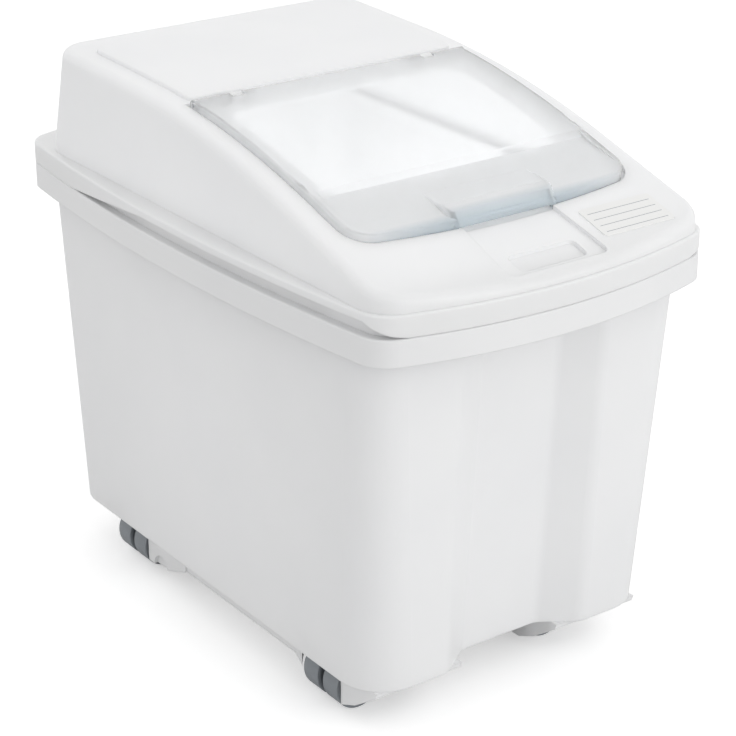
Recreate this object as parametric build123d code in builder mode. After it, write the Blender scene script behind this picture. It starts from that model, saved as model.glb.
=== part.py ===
from build123d import *
from math import asin, atan, cos, pi, sin, sqrt, tan
import os

os.makedirs("parts", exist_ok=True)

# Heights above the floor, in millimetres
CREASE_Z = 50.0
BELLY_Z = 30.0
HOUSING_Z = 13.5
FOOT_Z = 14.5
BAND_TOP_Z = 402.5
BAND_HEIGHT = 24.5
NECK_HEIGHT = 17.2
BAND_BOTTOM_Z = BAND_TOP_Z - BAND_HEIGHT
TUB_TOP_Z = BAND_TOP_Z + NECK_HEIGHT

# Rim outline shared by the tub's band and the lid's skirt, with bowed sides
RIM_HALF_WIDTH = 197.5
RIM_HALF_LENGTH = 315.6
SIDE_BOW = 19.2
END_BOW = 29.7
RIM_CORNER_X = RIM_HALF_WIDTH - SIDE_BOW
RIM_CORNER_Y = RIM_HALF_LENGTH - END_BOW
RIM_CORNER_RADIUS = 30.0
NECK_INSET = 9.0

# Tub wall at the crease and where it meets the rim
WALL = 3.5
WALL_TOP_Z = BAND_TOP_Z - 2.5
CREASE_HALF_WIDTH = RIM_HALF_WIDTH - 35.3
CREASE_FRONT_Y = -RIM_HALF_LENGTH + 58.8
CREASE_REAR_Y = RIM_HALF_LENGTH - 49.7
CREASE_CORNER_RADIUS = 45.0
TOP_HALF_WIDTH = RIM_HALF_WIDTH - 23.2
TOP_FRONT_Y = -RIM_HALF_LENGTH + 40.3
TOP_REAR_Y = RIM_HALF_LENGTH - 45.6
TOP_CORNER_RADIUS = 35.0

# Front recess between the two pilasters
RECESS_MOUTH_HALF = 78.0
RECESS_FLOOR_HALF = 42.0
RECESS_DEPTH_LOW = 24.0
RECESS_DEPTH_HIGH = 18.0
RECESS_TOP_Z = BAND_BOTTOM_Z + 10.0
RECESS_MOUTH_RADIUS = 22.0
RECESS_FLOOR_RADIUS = 16.0

# Casters
SWIVEL_X = CREASE_HALF_WIDTH - 53.2
FRONT_CASTER_Y = CREASE_FRONT_Y + 91.8
REAR_CASTER_Y = CREASE_REAR_Y - 97.9
TRAIL = 17.5
WHEEL_RADIUS = 25.0
WHEEL_WIDTH = 22.0
WHEEL_GAP_HALF = 4.1
AXLE_RADIUS = 3.0
RUNNING_FIT = 0.05
POCKET_RADIUS = 51.0
POCKET_SHOULDER_Z = 52.0
POCKET_TOP_RADIUS = 41.0
POCKET_TOP_Z = 64.0
PAD_TOP_Z = POCKET_TOP_Z + 10.0
PLATE_SIDE = 54.0
PLATE_THICKNESS = 3.0
SCREW_SPACING = 38.0
SCREW_RADIUS = 2.0
SCREW_DEPTH = 8.0
SCREW_HEAD_RADIUS = 4.0
SCREW_HEAD_HEIGHT = 2.4
KINGPIN_RADIUS = 5.0
KINGPIN_HEAD_RADIUS = 7.5
KINGPIN_HEAD_Z = POCKET_TOP_Z - 13.5
KINGPIN_HEAD_HEIGHT = 2.0
TURRET_RADIUS = 22.0
HOOD_RADIUS = 29.0
HOOD_EDGE_Z = WHEEL_RADIUS + 15.0
HOOD_CLEARANCE = 1.1
PLATE_GAP = 0.3
SCREW_END_GAP = 0.5

# Base pan, the housings round the front casters and the feet before the rear ones
PAN_HALF_WIDTH = CREASE_HALF_WIDTH - 12.2
PAN_FRONT_Y = CREASE_FRONT_Y + 35.8
PAN_REAR_Y = CREASE_REAR_Y - 60.9
PAN_CORNER_RADIUS = 35.0
BELLY_HALF_WIDTH = PAN_HALF_WIDTH - 2.0
BELLY_FRONT_Y = PAN_FRONT_Y + 16.0
BELLY_REAR_Y = PAN_REAR_Y - 10.0
HOUSING_INNER_X = SWIVEL_X - 54.0
FOOT_INNER_X = SWIVEL_X + 19.0
FOOT_NOTCH_Y = REAR_CASTER_Y - 54.0
FOOT_NOTCH_RADIUS = 13.0
FOOT_NOTCH_DEPTH = 4.0

# Lid
SKIN = 3.0
LID_GAP = 0.3
LIP_BOTTOM_Z = BAND_TOP_Z + 0.5
LEDGE_UNDER_Z = TUB_TOP_Z + LID_GAP
LEDGE_TOP_Z = LEDGE_UNDER_Z + SKIN
LID_HALF_WIDTH = RIM_HALF_WIDTH - 19.5
LID_REAR_Y = RIM_HALF_LENGTH - 55.6
LID_FRONT_Y = -RIM_HALF_LENGTH + 2.6
LID_FRONT_CORNER_Y = LID_FRONT_Y + 29.0
LID_CORNER_RADIUS = 34.0
LID_SIDE_LEAN = 6.0 / 82.0
LID_REAR_LEAN = 11.0 / 82.0
ROOF_REAR_SLOPE = 0.03
ROOF_BEND_Y = -27.8
ROOF_FRONT_DROP = 85.56
ROOF_FRONT_SLOPE = ROOF_FRONT_DROP / (ROOF_BEND_Y - LID_FRONT_Y)
ROOF_BEND_Z = LEDGE_TOP_Z + 92.7
ROOF_BEND_RADIUS = 1025.0
ROOF_EDGE_RADIUS = 9.0
LID_BLOCK_TOP_Z = ROOF_BEND_Z + 19.3
RIB_HALF_WIDTH = TOP_HALF_WIDTH - 4.8
RIB_FRONT_Y = TOP_FRONT_Y + 6.3
RIB_REAR_Y = TOP_REAR_Y - 5.0
RIB_CORNER_RADIUS = 30.0
RIB_BOTTOM_Z = LEDGE_UNDER_Z - 10.0
FINGER_GAP_Z = LIP_BOTTOM_Z + 13.0

# Flap
FLAP_HALF_WIDTH = LID_HALF_WIDTH - 28.0
FLAP_FRONT_Y = LID_FRONT_Y + 84.0
FLAP_FRONT_CORNER_Y = FLAP_FRONT_Y + 12.0
FLAP_CORNER_RADIUS = 25.0
FLAP_THICKNESS = 2.8
FLAP_HEIGHT = 6.0
FLAP_STEP_Y = FLAP_FRONT_Y + 73.0
FLAP_STEP = 3.0
FLAP_LIP_DROP = 4.2
FLAP_EDGE_RADIUS = 2.5
STRIP_FRONT_Y = FLAP_FRONT_Y + 24.0
STRIP_HALF_WIDTH = FLAP_HALF_WIDTH - 7.0
PIVOT_Y = 25.0
PIVOT_LIFT = 1.0
BARREL_RADIUS = FLAP_HEIGHT - PIVOT_LIFT
LUG_INNER_X = FLAP_HALF_WIDTH - 50.0
LUG_OUTER_X = LUG_INNER_X + 12.0
LUG_SIDE_GAP = 0.4
PIN_RADIUS = 2.0
PIN_INNER_X = LUG_INNER_X - 14.0
PIN_OUTER_X = FLAP_HALF_WIDTH - 0.5
GRIP_HALF_WIDTH = 58.0
GRIP_RADIUS = 3.0
GRIP_END_RADIUS = 8.0

# Deck, access opening and raised panel in the lid's roof
DECK_DEPTH = 4.5
DECK_MARGIN = 3.0
OPENING_HALF_WIDTH = FLAP_HALF_WIDTH - 22.0
OPENING_FRONT_Y = FLAP_FRONT_Y + 79.0
OPENING_REAR_Y = PIVOT_Y - 17.0
OPENING_RADIUS = 20.0
PANEL_HEIGHT = 3.5
PANEL_HALF_WIDTH = FLAP_HALF_WIDTH - 3.0
PANEL_FRONT_Y = PIVOT_Y + 11.0
PANEL_REAR_Y = LID_REAR_Y - 55.0
PANEL_CORNER_RADIUS = 8.0
PANEL_EDGE_RADIUS = 2.0

# Write-on plate
PLATE_CENTRE_X = LID_HALF_WIDTH - 75.0
PLATE_CENTRE_Y = LID_FRONT_Y + 48.0
WRITE_ON_WIDTH = 80.0
WRITE_ON_LENGTH = 38.0
WRITE_ON_THICKNESS = 0.8
WRITE_ON_RADIUS = 3.0

# Small details
LEDGE_EDGE_RADIUS = 2.0
BAND_EDGE_RADIUS = 2.0
FINGER_GAP_INNER_X = RIM_HALF_WIDTH - 47.5
FINGER_GAP_FRONT_Y = -RIM_HALF_LENGTH + 45.6
FINGER_GAP_REAR_Y = RIM_HALF_LENGTH - 119.6
FINGER_GAP_FRONT_RUN = 26.0
FINGER_GAP_REAR_RUN = 150.0
POCKET_REAR_HALF = 48.0
POCKET_REAR_Y = FLAP_FRONT_Y + 9.0
POCKET_FRONT_HALF = 54.0
POCKET_FRONT_Y = LID_FRONT_Y + 12.0
POCKET_CORNER_RADIUS = 8.0
POCKET_DEPTH = 3.5
SLOT_HALF_WIDTH = 36.0
SLOT_FRONT_Y = POCKET_FRONT_Y + 7.0
SLOT_REAR_Y = SLOT_FRONT_Y + 22.0
SLOT_RADIUS = 6.0
SLOT_DEPTH = 7.0
LUG_FOOT_HEIGHT = 7.0
LUG_FOOT_SHIFT = 1.0
LUG_NOTCH = 7.0
PIN_CHAMFER = 0.4

# Side outlines of the finger grip, as (distance behind the flap's front edge, height over the roof)
GRIP_OUTER = [(45, 4.5), (16, 11), (6, 11), (-2, 0.6), (31, 0.6)]
GRIP_INNER = [(27, -8), (27, 5.5), (15, 8.2), (7.5, 8.2), (1.5, 0.6), (-5, 0.6), (-5, -8)]

# Side outline of the front housing, as (distance behind the front casters' axis, z)
HOUSING_POINTS = [
    (-84, CREASE_Z),
    (-82, CREASE_Z - 6),
    (-52, CREASE_Z - 27),
    (-31, HOUSING_Z),
    (25, HOUSING_Z),
    (32, BELLY_Z - 4),
    (40, BELLY_Z),
    (42, CREASE_Z),
]

# Side outline of the rear foot, as (distance behind the rear casters' axis, z)
FOOT_POINTS = [
    (-104, CREASE_Z),
    (-100, BELLY_Z),
    (-69, FOOT_Z + 3.5),
    (-51, FOOT_Z),
    (-31, FOOT_Z),
    (-27, CREASE_Z),
]

# Small details of the casters
PLATE_CORNER_RADIUS = 6.0
SCREW_HEAD_ROUND = 1.0
HUB_HALF = 3.8
AXLE_BOSS_RADIUS = 8.0
AXLE_HEAD_RADIUS = 5.0
AXLE_HEAD_HEIGHT = 1.5
AXLE_HEAD_GAP = 0.2
HUB_RECESS = 1.5
WHEEL_EDGE_RADIUS = 2.5
WEB_POINTS = [(-8, 0), (-12, 26), (22, 26), (8, 0)]
WHEEL_SECTION = [
    (0, AXLE_RADIUS + RUNNING_FIT),
    (0, 9),
    (8, 9),
    (8, 19),
    (0, 19),
    (0, WHEEL_RADIUS),
    (WHEEL_WIDTH, WHEEL_RADIUS),
    (WHEEL_WIDTH, 20),
    (WHEEL_WIDTH - 3, 18),
    (WHEEL_WIDTH - 3, 9),
    (WHEEL_WIDTH - HUB_RECESS, 8),
    (WHEEL_WIDTH - HUB_RECESS, AXLE_RADIUS + RUNNING_FIT),
]

CASTER_PLACES = {
    "front_left": (-SWIVEL_X, FRONT_CASTER_Y),
    "front_right": (SWIVEL_X, FRONT_CASTER_Y),
    "rear_left": (-SWIVEL_X, REAR_CASTER_Y),
    "rear_right": (SWIVEL_X, REAR_CASTER_Y),
}

# Reach of the cutting blocks, past every side of the bin
FAR = 400.0
LOW_Z = 340.0

# Where the roof's round stretch meets its two planes, and the centre of its arc
REAR_TILT = atan(ROOF_REAR_SLOPE)
FRONT_TILT = atan(ROOF_FRONT_SLOPE)
BEND_REACH = ROOF_BEND_RADIUS * tan((FRONT_TILT - REAR_TILT) / 2)
BEND_REAR_Y = ROOF_BEND_Y + BEND_REACH * cos(REAR_TILT)
BEND_FRONT_Y = ROOF_BEND_Y - BEND_REACH * cos(FRONT_TILT)
BEND_CENTRE_Y = BEND_REAR_Y + ROOF_BEND_RADIUS * sin(REAR_TILT)
BEND_CENTRE_Z = ROOF_BEND_Z + BEND_REACH * sin(REAR_TILT) - ROOF_BEND_RADIUS * cos(REAR_TILT)


# Height of the roof at a Y position
def roof_z(y):
    if y > BEND_REAR_Y:
        return ROOF_BEND_Z + ROOF_REAR_SLOPE * (y - ROOF_BEND_Y)
    if y < BEND_FRONT_Y:
        return ROOF_BEND_Z + ROOF_FRONT_SLOPE * (y - ROOF_BEND_Y)
    return BEND_CENTRE_Z + sqrt(ROOF_BEND_RADIUS**2 - (y - BEND_CENTRE_Y) ** 2)


PIVOT_Z = roof_z(PIVOT_Y) + PIVOT_LIFT


def save(piece, name):
    piece.label = name
    export_step(piece, f"parts/{name}.step")


# Lean of a bowed side at its corner, from the bow and half of its length
def bow_angle(bow, half_length):
    radius = (bow**2 + half_length**2) / (2 * bow)
    return asin(half_length / radius)


# Outline of the rim at a height, moved inwards by an inset
def rim_face(height, inset=0.0):
    side_lean = bow_angle(RIM_HALF_WIDTH - RIM_CORNER_X, RIM_CORNER_Y)
    end_lean = bow_angle(RIM_HALF_LENGTH - RIM_CORNER_Y, RIM_CORNER_X)
    across = inset / cos(side_lean + end_lean)
    corner_x = RIM_CORNER_X - across * (cos(end_lean) - sin(side_lean))
    corner_y = RIM_CORNER_Y - across * (cos(side_lean) - sin(end_lean))
    with BuildSketch(Plane.XY.offset(height)) as face:
        with BuildLine():
            for turn in (1, -1):
                ThreePointArc(
                    (-turn * corner_x, turn * corner_y),
                    (0, turn * (RIM_HALF_LENGTH - inset)),
                    (turn * corner_x, turn * corner_y),
                )
                ThreePointArc(
                    (turn * corner_x, turn * corner_y),
                    (turn * (RIM_HALF_WIDTH - inset), 0),
                    (turn * corner_x, -turn * corner_y),
                )
        make_face()
        fillet(face.vertices(), RIM_CORNER_RADIUS - inset)
    return face.sketch


# Rounded rectangle between two Y positions at a height
def box_face(height, half_width, front_y, rear_y, radius):
    with BuildSketch(Plane.XY.offset(height)) as face:
        with Locations((0, (front_y + rear_y) / 2)):
            RectangleRounded(2 * half_width, rear_y - front_y, radius)
    return face.sketch


# Section of the tub's wall at a height, with or without the front recess
def tub_face(height, inset=0.0, with_recess=True):
    share = (height - CREASE_Z) / (WALL_TOP_Z - CREASE_Z)
    half = CREASE_HALF_WIDTH + share * (TOP_HALF_WIDTH - CREASE_HALF_WIDTH)
    front = CREASE_FRONT_Y + share * (TOP_FRONT_Y - CREASE_FRONT_Y)
    rear = CREASE_REAR_Y + share * (TOP_REAR_Y - CREASE_REAR_Y)
    radius = CREASE_CORNER_RADIUS + share * (TOP_CORNER_RADIUS - CREASE_CORNER_RADIUS)
    depth = RECESS_DEPTH_LOW + share * (RECESS_DEPTH_HIGH - RECESS_DEPTH_LOW)
    if not with_recess:
        return box_face(height, half - inset, front + inset, rear - inset, radius - inset)
    with BuildSketch(Plane.XY.offset(height)) as face:
        with BuildLine():
            Polyline(
                (-half, rear),
                (-half, front),
                (-RECESS_MOUTH_HALF, front),
                (-RECESS_FLOOR_HALF, front + depth),
                (RECESS_FLOOR_HALF, front + depth),
                (RECESS_MOUTH_HALF, front),
                (half, front),
                (half, rear),
                close=True,
            )
        make_face()
        fillet(face.vertices().filter_by(lambda v: abs(v.X) > half - 1), radius)
        mouth = face.vertices().filter_by(lambda v: abs(abs(v.X) - RECESS_MOUTH_HALF) < 0.1)
        fillet(mouth, RECESS_MOUTH_RADIUS)
        floor = face.vertices().filter_by(lambda v: abs(abs(v.X) - RECESS_FLOOR_HALF) < 0.1)
        fillet(floor, RECESS_FLOOR_RADIUS)
        if inset:
            offset(amount=-inset)
    return face.sketch


# Everything below the roof, lowered by a drop (raised where it is negative)
def under_roof(drop=0.0):
    front, front_bend, middle, rear_bend, rear = [
        (y, roof_z(y) - drop) for y in (-FAR, BEND_FRONT_Y, ROOF_BEND_Y, BEND_REAR_Y, FAR)
    ]
    with BuildPart() as block:
        with BuildSketch(Plane.YZ):
            with BuildLine():
                ThreePointArc(front_bend, middle, rear_bend)
                Polyline(rear_bend, rear, (FAR, LOW_Z), (-FAR, LOW_Z), front, front_bend)
            make_face()
        extrude(amount=FAR, both=True)
    return block.part


# Wedge over the flap's front strip: a step at the ridge that runs out to nothing in front
def strip_wedge(drop=0.0):
    rise = FLAP_HEIGHT - drop
    points = [
        (FLAP_STEP_Y + FLAP_STEP, rise),
        (FLAP_STEP_Y - FLAP_STEP, rise - FLAP_STEP),
        (STRIP_FRONT_Y, rise),
        (STRIP_FRONT_Y, 4 * FLAP_HEIGHT),
        (FLAP_STEP_Y + FLAP_STEP, 4 * FLAP_HEIGHT),
    ]
    with BuildPart() as wedge:
        with BuildSketch(Plane.YZ):
            with BuildLine():
                Polyline(*[(y, roof_z(y) + up) for y, up in points], close=True)
            make_face()
        extrude(amount=STRIP_HALF_WIDTH + drop, both=True)
    return wedge.part


# Section of the lid's body at a height
def lid_face(height, inset=0.0):
    rise = height - LEDGE_TOP_Z
    half = LID_HALF_WIDTH - rise * LID_SIDE_LEAN
    rear = LID_REAR_Y - rise * LID_REAR_LEAN
    with BuildSketch(Plane.XY.offset(height)) as face:
        with BuildLine():
            Polyline(
                (-half, LID_FRONT_CORNER_Y),
                (-half, rear),
                (half, rear),
                (half, LID_FRONT_CORNER_Y),
            )
            ThreePointArc((-half, LID_FRONT_CORNER_Y), (0, LID_FRONT_Y), (half, LID_FRONT_CORNER_Y))
        make_face()
        fillet(face.vertices(), LID_CORNER_RADIUS)
        if inset:
            offset(amount=-inset)
    return face.sketch


# Lid's body as a solid block with rounded roof edges, smaller all round by an inset
def lid_block(inset=0.0):
    with BuildPart() as block:
        loft(sections=[lid_face(LEDGE_UNDER_Z, inset), lid_face(LID_BLOCK_TOP_Z, inset)])
        add(under_roof(inset), mode=Mode.INTERSECT)
        rim = [
            edge
            for edge in block.edges()
            if abs(edge.center().Z + inset - roof_z(edge.center().Y)) < 1
            and (abs(edge.center().X) > FLAP_HALF_WIDTH or abs(edge.center().Y) > PANEL_REAR_Y)
        ]
        fillet(rim, ROOF_EDGE_RADIUS - inset)
    return block.part


# Part of a column that stands between two surfaces given as solids below them
def slab(face, below_top, below_bottom):
    with BuildPart() as piece:
        extrude(to_extrude=face, amount=FAR)
        add(below_top, mode=Mode.INTERSECT)
        add(below_bottom, mode=Mode.SUBTRACT)
    return piece.part


# Outline of the flap, moved outwards by a margin
def flap_face(margin=0.0):
    with BuildSketch(Plane.XY.offset(LIP_BOTTOM_Z + 1)) as face:
        with BuildLine():
            Polyline(
                (-FLAP_HALF_WIDTH, FLAP_FRONT_CORNER_Y),
                (-FLAP_HALF_WIDTH, PIVOT_Y),
                (FLAP_HALF_WIDTH, PIVOT_Y),
                (FLAP_HALF_WIDTH, FLAP_FRONT_CORNER_Y),
            )
            ThreePointArc(
                (-FLAP_HALF_WIDTH, FLAP_FRONT_CORNER_Y),
                (0, FLAP_FRONT_Y),
                (FLAP_HALF_WIDTH, FLAP_FRONT_CORNER_Y),
            )
        make_face()
        fillet(face.vertices().filter_by(lambda v: v.Y < 0), FLAP_CORNER_RADIUS)
        if margin:
            offset(amount=margin, kind=Kind.INTERSECTION)
    return face.sketch


# Outline of the sunk deck: the flap and its barrel with a margin
def deck_face(margin):
    with BuildSketch(Plane.XY.offset(LIP_BOTTOM_Z + 1)) as face:
        add(flap_face(margin))
        with Locations((0, PIVOT_Y)):
            Rectangle(2 * (FLAP_HALF_WIDTH + margin), 2 * (BARREL_RADIUS + margin))
    return face.sketch


# Outline of the finger pocket in the front slope
def pocket_face(margin=0.0):
    with BuildSketch(Plane.XY.offset(LIP_BOTTOM_Z + 1)) as face:
        with BuildLine():
            Polyline(
                (-POCKET_REAR_HALF, POCKET_REAR_Y),
                (-POCKET_FRONT_HALF, POCKET_FRONT_Y),
                (POCKET_FRONT_HALF, POCKET_FRONT_Y),
                (POCKET_REAR_HALF, POCKET_REAR_Y),
                close=True,
            )
        make_face()
        fillet(face.vertices(), POCKET_CORNER_RADIUS)
        if margin:
            offset(amount=margin)
    return face.sketch


# Outline of the deeper finger slot in the pocket's floor
def slot_face():
    return box_face(LIP_BOTTOM_Z + 1, SLOT_HALF_WIDTH, SLOT_FRONT_Y, SLOT_REAR_Y, SLOT_RADIUS)


# Raised panel behind the flap
with BuildPart() as panel:
    outline = box_face(
        LEDGE_TOP_Z + 1, PANEL_HALF_WIDTH, PANEL_FRONT_Y, PANEL_REAR_Y, PANEL_CORNER_RADIUS
    )
    add(slab(outline, under_roof(-PANEL_HEIGHT), under_roof(SKIN)))
    border = [
        edge
        for edge in panel.edges()
        if edge.center().Z > roof_z(edge.center().Y) + PANEL_HEIGHT / 2
        and abs(edge.center().Y - BEND_REAR_Y) > 1
        and edge.length > PANEL_HEIGHT + SKIN + 1
    ]
    fillet(border, PANEL_EDGE_RADIUS)

# Hollow of the lid's body, kept clear of the skins under the deck and the finger pocket
with BuildPart() as lid_hollow:
    add(lid_block(SKIN))
    add(
        slab(deck_face(DECK_MARGIN + SKIN), under_roof(-1), under_roof(DECK_DEPTH + SKIN)),
        mode=Mode.SUBTRACT,
    )
    add(slab(pocket_face(SKIN), under_roof(-1), under_roof(SLOT_DEPTH + SKIN)), mode=Mode.SUBTRACT)
    with BuildSketch(Plane.XY.offset(LEDGE_UNDER_Z)):
        Rectangle(FAR, 2 * FAR)
    extrude(amount=LEDGE_TOP_Z - LEDGE_UNDER_Z, mode=Mode.SUBTRACT)

# Lid: skirt, ledge, locating rib and sloping body, hollow below
with BuildPart() as lid:
    extrude(to_extrude=rim_face(LIP_BOTTOM_Z), amount=LEDGE_TOP_Z - LIP_BOTTOM_Z)
    fillet(lid.edges().group_by(Axis.Z)[-1], LEDGE_EDGE_RADIUS)
    extrude(
        to_extrude=rim_face(LIP_BOTTOM_Z, SKIN),
        amount=LEDGE_UNDER_Z - LIP_BOTTOM_Z,
        mode=Mode.SUBTRACT,
    )

    # raised edge of the skirt along both sides, for the fingers
    for side in (1, -1):
        with BuildSketch(Plane.YZ.offset(side * FINGER_GAP_INNER_X)):
            with BuildLine():
                Polyline(
                    (FINGER_GAP_FRONT_Y - FINGER_GAP_FRONT_RUN, LIP_BOTTOM_Z - 1),
                    (FINGER_GAP_FRONT_Y, FINGER_GAP_Z),
                    (FINGER_GAP_REAR_Y - FINGER_GAP_REAR_RUN, FINGER_GAP_Z),
                    (FINGER_GAP_REAR_Y, LIP_BOTTOM_Z - 1),
                    close=True,
                )
            make_face()
        extrude(amount=side * RIM_HALF_WIDTH, mode=Mode.SUBTRACT)
    extrude(
        to_extrude=box_face(RIB_BOTTOM_Z, RIB_HALF_WIDTH, RIB_FRONT_Y, RIB_REAR_Y, RIB_CORNER_RADIUS),
        amount=LEDGE_UNDER_Z - RIB_BOTTOM_Z,
    )
    add(lid_block())
    add(panel.part)
    add(lid_hollow.part, mode=Mode.SUBTRACT)
    extrude(
        to_extrude=box_face(
            RIB_BOTTOM_Z,
            RIB_HALF_WIDTH - SKIN,
            RIB_FRONT_Y + SKIN,
            RIB_REAR_Y - SKIN,
            RIB_CORNER_RADIUS - SKIN,
        ),
        amount=LEDGE_TOP_Z - RIB_BOTTOM_Z,
        mode=Mode.SUBTRACT,
    )

    # sunk deck, finger pocket and access opening
    add(slab(deck_face(DECK_MARGIN), under_roof(-20), under_roof(DECK_DEPTH)), mode=Mode.SUBTRACT)
    add(slab(pocket_face(), under_roof(-20), under_roof(POCKET_DEPTH)), mode=Mode.SUBTRACT)
    add(slab(slot_face(), under_roof(-20), under_roof(SLOT_DEPTH)), mode=Mode.SUBTRACT)
    extrude(
        to_extrude=box_face(
            LEDGE_TOP_Z, OPENING_HALF_WIDTH, OPENING_FRONT_Y, OPENING_REAR_Y, OPENING_RADIUS
        ),
        amount=FAR,
        mode=Mode.SUBTRACT,
    )

    # hinge lugs with a foot on the deck
    for side in (1, -1):
        lug_plane = Plane.YZ.offset(side * LUG_INNER_X)
        with BuildSketch(lug_plane):
            with Locations((PIVOT_Y, PIVOT_Z)):
                Circle(BARREL_RADIUS)
            with Locations((PIVOT_Y + LUG_FOOT_SHIFT, PIVOT_Z - LUG_FOOT_HEIGHT / 2)):
                Rectangle(2 * (BARREL_RADIUS - LUG_FOOT_SHIFT), LUG_FOOT_HEIGHT)
        extrude(amount=side * (LUG_OUTER_X - LUG_INNER_X))
        with BuildSketch(lug_plane):
            with Locations((PIVOT_Y, PIVOT_Z)):
                Circle(PIN_RADIUS)
        extrude(amount=side * (LUG_OUTER_X - LUG_INNER_X), mode=Mode.SUBTRACT)
save(lid.part, "lid")

# Space under the flap's plate
with BuildPart() as flap_hollow:
    with BuildSketch(Plane.XY.offset(LIP_BOTTOM_Z + 1)):
        add(flap_face(-FLAP_THICKNESS))
        with Locations((0, PIVOT_Y)):
            Rectangle(2 * (FLAP_HALF_WIDTH - FLAP_THICKNESS), 4 * FLAP_THICKNESS)
    extrude(amount=FAR)
    add(under_roof(FLAP_THICKNESS - FLAP_HEIGHT), mode=Mode.INTERSECT)
    add(strip_wedge(FLAP_THICKNESS), mode=Mode.SUBTRACT)


# Block of the finger grip between two X positions
def grip_block(half_width, points):
    placed = [(FLAP_FRONT_Y + along, rise) for along, rise in points]
    with BuildPart() as block:
        with BuildSketch(Plane.YZ):
            with BuildLine():
                Polyline(*[(y, roof_z(y) + rise) for y, rise in placed], close=True)
            make_face()
        extrude(amount=half_width, both=True)
    return block.part


# Rounded outside of the finger grip
with BuildPart() as grip:
    add(grip_block(GRIP_HALF_WIDTH, GRIP_OUTER))
    ends = grip.edges().filter_by(lambda e: e.center().Y < FLAP_FRONT_Y + 4 and abs(e.center().X) > 1)
    fillet(ends, GRIP_END_RADIUS)
    crest = grip.edges().filter_by(lambda e: e.center().Z > roof_z(e.center().Y) + 7)
    fillet(crest, GRIP_RADIUS)

# Flap: stepped plate with a down-turned edge, a grip in front and a hinge barrel behind
with BuildPart() as flap:
    add(slab(flap_face(), under_roof(-FLAP_HEIGHT), under_roof(FLAP_LIP_DROP)))
    border = [
        edge
        for edge in flap.edges()
        if edge.center().Z > roof_z(edge.center().Y) + 1
        and (abs(edge.center().X) > PIN_INNER_X or edge.center().Y < FLAP_FRONT_CORNER_Y)
    ]
    fillet(border, FLAP_EDGE_RADIUS)
    add(strip_wedge(), mode=Mode.SUBTRACT)
    add(flap_hollow.part, mode=Mode.SUBTRACT)

    # finger grip, open below and in front for the fingertips
    add(grip.part)
    add(grip_block(GRIP_HALF_WIDTH - GRIP_END_RADIUS, GRIP_INNER), mode=Mode.SUBTRACT)

    # hinge barrel, open at the two lugs
    with BuildSketch(Plane.YZ):
        with Locations((PIVOT_Y, PIVOT_Z)):
            Circle(BARREL_RADIUS)
    extrude(amount=FLAP_HALF_WIDTH, both=True)
    for side in (1, -1):
        with BuildSketch(Plane.YZ.offset(side * (LUG_INNER_X - LUG_SIDE_GAP))):
            with Locations((PIVOT_Y, PIVOT_Z)):
                Rectangle(2 * LUG_NOTCH, 4 * BARREL_RADIUS)
        extrude(amount=side * (LUG_OUTER_X - LUG_INNER_X + 2 * LUG_SIDE_GAP), mode=Mode.SUBTRACT)
        with BuildSketch(Plane.YZ.offset(side * (PIN_INNER_X - LUG_SIDE_GAP))):
            with Locations((PIVOT_Y, PIVOT_Z)):
                Circle(PIN_RADIUS + RUNNING_FIT)
        extrude(amount=side * FLAP_HALF_WIDTH, mode=Mode.SUBTRACT)
save(flap.part, "flap")

for side, name in ((-1, "hinge_pin_left"), (1, "hinge_pin_right")):
    with BuildPart() as pin:
        with BuildSketch(Plane.YZ.offset(side * PIN_INNER_X)):
            with Locations((PIVOT_Y, PIVOT_Z)):
                Circle(PIN_RADIUS)
        extrude(amount=side * (PIN_OUTER_X - PIN_INNER_X))
        chamfer(pin.edges(), PIN_CHAMFER)
    save(pin.part, name)

with BuildPart() as write_on:
    with BuildSketch(Plane.XY.offset(LEDGE_TOP_Z)):
        with Locations((PLATE_CENTRE_X, PLATE_CENTRE_Y)):
            RectangleRounded(WRITE_ON_WIDTH, WRITE_ON_LENGTH, WRITE_ON_RADIUS)
    extrude(amount=FAR)
    add(under_roof(-WRITE_ON_THICKNESS), mode=Mode.INTERSECT)
    add(under_roof(), mode=Mode.SUBTRACT)
save(write_on.part, "write_on_plate")


# Upper and lower outlines of the base pan, moved inwards by an inset
def pan_face(height, inset=0.0):
    return box_face(
        height,
        PAN_HALF_WIDTH - inset,
        PAN_FRONT_Y + inset,
        PAN_REAR_Y - inset,
        PAN_CORNER_RADIUS - inset,
    )


def belly_face(height, inset=0.0):
    return box_face(
        height,
        BELLY_HALF_WIDTH - inset,
        BELLY_FRONT_Y + inset,
        BELLY_REAR_Y - inset,
        PAN_CORNER_RADIUS - inset,
    )


# Round pocket over a caster, larger all round by a wall
def caster_pocket(x, y, wall=0.0):
    with BuildPart() as pocket:
        with BuildSketch(Plane.XZ.offset(-y)):
            with BuildLine():
                Polyline(
                    (x, -1),
                    (x + POCKET_RADIUS + wall, -1),
                    (x + POCKET_RADIUS + wall, POCKET_SHOULDER_Z),
                    (x + POCKET_TOP_RADIUS + wall, POCKET_TOP_Z),
                    (x, POCKET_TOP_Z),
                    close=True,
                )
            make_face()
        revolve(axis=Axis((x, y, 0), (0, 0, 1)))
    return pocket.part


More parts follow.
